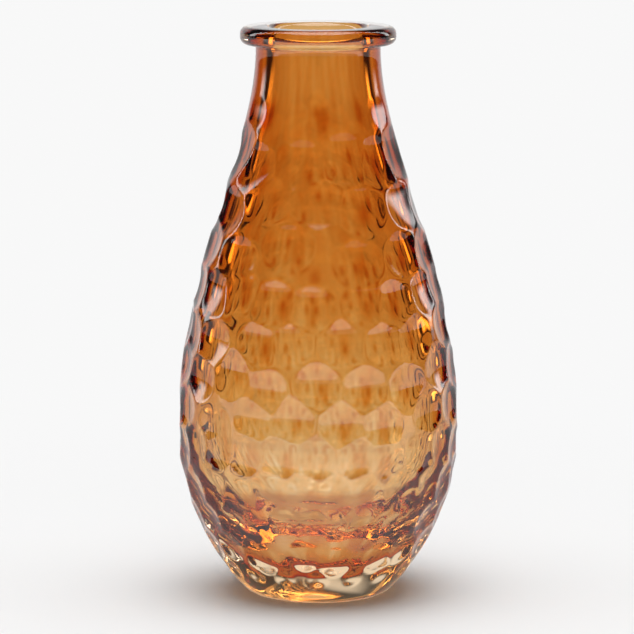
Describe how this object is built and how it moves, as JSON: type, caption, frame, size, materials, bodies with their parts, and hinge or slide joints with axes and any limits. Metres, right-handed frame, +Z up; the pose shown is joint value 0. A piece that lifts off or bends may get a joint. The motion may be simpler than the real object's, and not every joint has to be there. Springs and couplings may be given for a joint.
{
  "type": "glass bud vase",
  "caption": "Bottle-shaped bud vase of thick dimpled clear glass with a flanged rim, a narrow neck and an amber inner coat.",
  "frame": {"origin": "centre of the foot, on the surface the vase stands on", "axes": "+Z up along the vase's axis; X and Y are level, and the vase looks the same from every side"},
  "size_m": [0.0737, 0.0744, 0.15],
  "materials": {
    "clear_glass": "smooth moulded clear glass with shallow pressed dimples",
    "amber_coat": "thin translucent amber lacquer on the inside of the glass"
  },
  "bodies": {
    "root": {"glass_body": "clear_glass", "amber_inner_coat": "amber_coat"}
  },
  "joints": []
}
